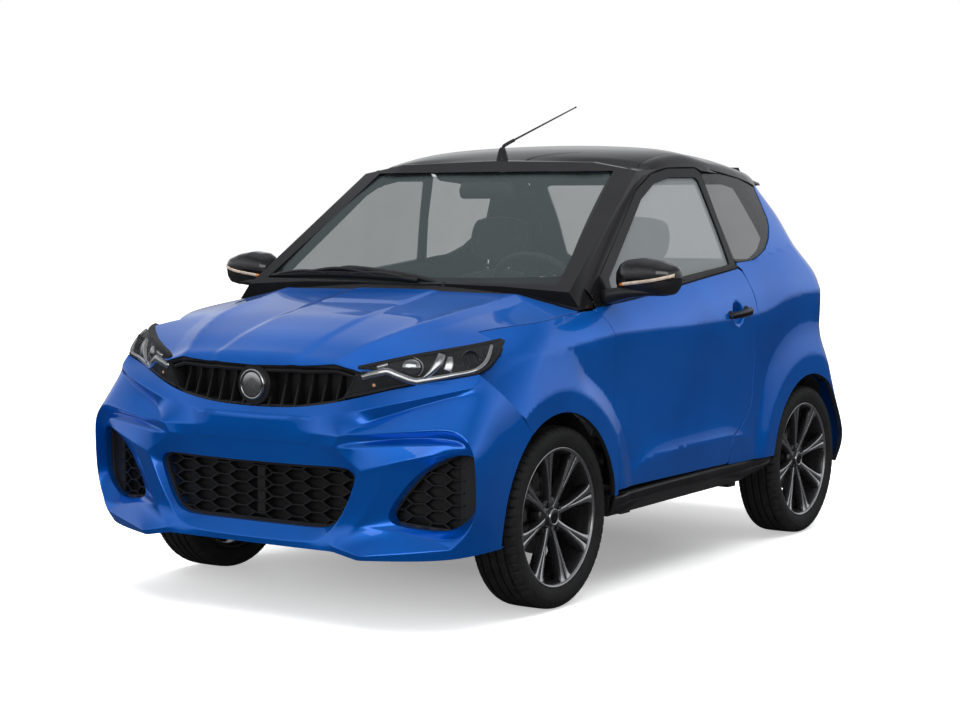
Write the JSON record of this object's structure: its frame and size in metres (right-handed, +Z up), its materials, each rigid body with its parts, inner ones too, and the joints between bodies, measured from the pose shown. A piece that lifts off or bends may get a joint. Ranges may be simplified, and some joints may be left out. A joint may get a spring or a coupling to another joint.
{
  "type": "two-door microcar",
  "caption": "Small two-seat hatchback on four alloy wheels, with opening side doors, tailgate and bonnet, steered front wheels and a hollow cabin with seats and dashboard.",
  "frame": {"origin": "on the floor, midway between the bumpers and on the car's centre plane", "axes": "+X to the car's left, -Y forward, +Z up"},
  "size_m": [1.856, 3.006, 1.6213],
  "materials": {
    "body_paint": "metallic",
    "gloss_black": "gloss",
    "black_plastic": "grained",
    "glass": "clear",
    "lamp_lens": "clear",
    "red_lens": "gloss",
    "steel": "semi-gloss",
    "alloy": "machined",
    "tyre": "matt",
    "seat_cloth": "woven",
    "trim_soft": "grained",
    "mirror_housing": "gloss",
    "exhaust_steel": "satin"
  },
  "bodies": {
    "root": {"front_fenders": "body_paint", "front_bumper": "body_paint", "lower_grilles": "black_plastic", "upper_grille": "gloss_black", "headlamps": "lamp_lens", "body_frame": "gloss_black", "windscreen": "glass", "roof_panel": "gloss_black", "rear_quarters": "body_paint", "quarter_windows": "glass", "tail_lamps": "red_lens", "rear_bumper": "body_paint", "side_sills": "black_plastic", "floor_pan": "steel", "bulkhead": "steel", "wheel_houses": "black_plastic", "dashboard": "trim_soft", "driver_seat": "seat_cloth", "passenger_seat": "seat_cloth", "seat_frames": "steel", "engine": "steel", "front_subframe": "steel", "rear_axle": "steel", "exhaust": "exhaust_steel", "wiper": "black_plastic", "aerial": "black_plastic"},
    "left_door": {"door_left": "body_paint", "door_glass_left": "glass", "mirror_left": "mirror_housing"},
    "right_door": {"door_right": "body_paint", "door_glass_right": "glass", "mirror_right": "mirror_housing"},
    "tailgate_body": {"tailgate": "body_paint", "rear_window": "glass"},
    "bonnet_body": {"bonnet": "body_paint"},
    "steering_wheel_body": {"steering_wheel": "trim_soft"},
    "left_knuckle_body": {"left_knuckle": "steel"},
    "right_knuckle_body": {"right_knuckle": "steel"},
    "front_left_wheel_body": {"front_left_wheel": "alloy", "front_left_tyre": "tyre"},
    "front_right_wheel_body": {"front_right_wheel": "alloy", "front_right_tyre": "tyre"},
    "rear_left_wheel_body": {"rear_left_wheel": "alloy", "rear_left_tyre": "tyre"},
    "rear_right_wheel_body": {"rear_right_wheel": "alloy", "rear_right_tyre": "tyre"}
  },
  "joints": [
    {"name": "front_left_steer", "type": "hinge", "parent": "root", "child": "left_knuckle_body", "pos_m": [0.593, -0.876, 0.283], "axis": [-0.1887, 0, 0.982], "range_deg": [-28, 28]},
    {"name": "front_right_steer", "type": "hinge", "parent": "root", "child": "right_knuckle_body", "pos_m": [-0.593, -0.876, 0.283], "axis": [0.1887, 0, 0.982], "range_deg": [-28, 28]},
    {"name": "steering_wheel_turn", "type": "hinge", "parent": "root", "child": "steering_wheel_body", "pos_m": [0.3, -0.33, 0.925], "axis": [0, 0.9061, 0.423], "range_deg": [-420, 420]},
    {"name": "left_door_hinge", "type": "hinge", "parent": "root", "child": "left_door", "pos_m": [0.749, -0.561, 0.65], "axis": [0, 0, -1], "range_deg": [0, 62]},
    {"name": "right_door_hinge", "type": "hinge", "parent": "root", "child": "right_door", "pos_m": [-0.749, -0.561, 0.65], "axis": [0, 0, 1], "range_deg": [0, 62]},
    {"name": "bonnet_hinge", "type": "hinge", "parent": "root", "child": "bonnet_body", "pos_m": [0, -0.722, 0.992], "axis": [-1, 0, 0], "range_deg": [0, 50]},
    {"name": "tailgate_hinge", "type": "hinge", "parent": "root", "child": "tailgate_body", "pos_m": [0, 0.745, 1.45], "axis": [1, 0, 0], "range_deg": [0, 72]},
    {"name": "front_left_roll", "type": "hinge", "parent": "left_knuckle_body", "child": "front_left_wheel_body", "pos_m": [0.647, -0.876, 0.283], "axis": [1, 0, 0], "continuous": true},
    {"name": "front_right_roll", "type": "hinge", "parent": "right_knuckle_body", "child": "front_right_wheel_body", "pos_m": [-0.647, -0.876, 0.283], "axis": [1, 0, 0], "continuous": true},
    {"name": "rear_left_roll", "type": "hinge", "parent": "root", "child": "rear_left_wheel_body", "pos_m": [0.647, 0.931, 0.283], "axis": [1, 0, 0], "continuous": true},
    {"name": "rear_right_roll", "type": "hinge", "parent": "root", "child": "rear_right_wheel_body", "pos_m": [-0.647, 0.931, 0.283], "axis": [1, 0, 0], "continuous": true}
  ],
  "couplings": [
    {"joint": "front_right_steer", "follows": "front_left_steer", "ratio": 1},
    {"joint": "steering_wheel_turn", "follows": "front_left_steer", "ratio": 15}
  ]
}
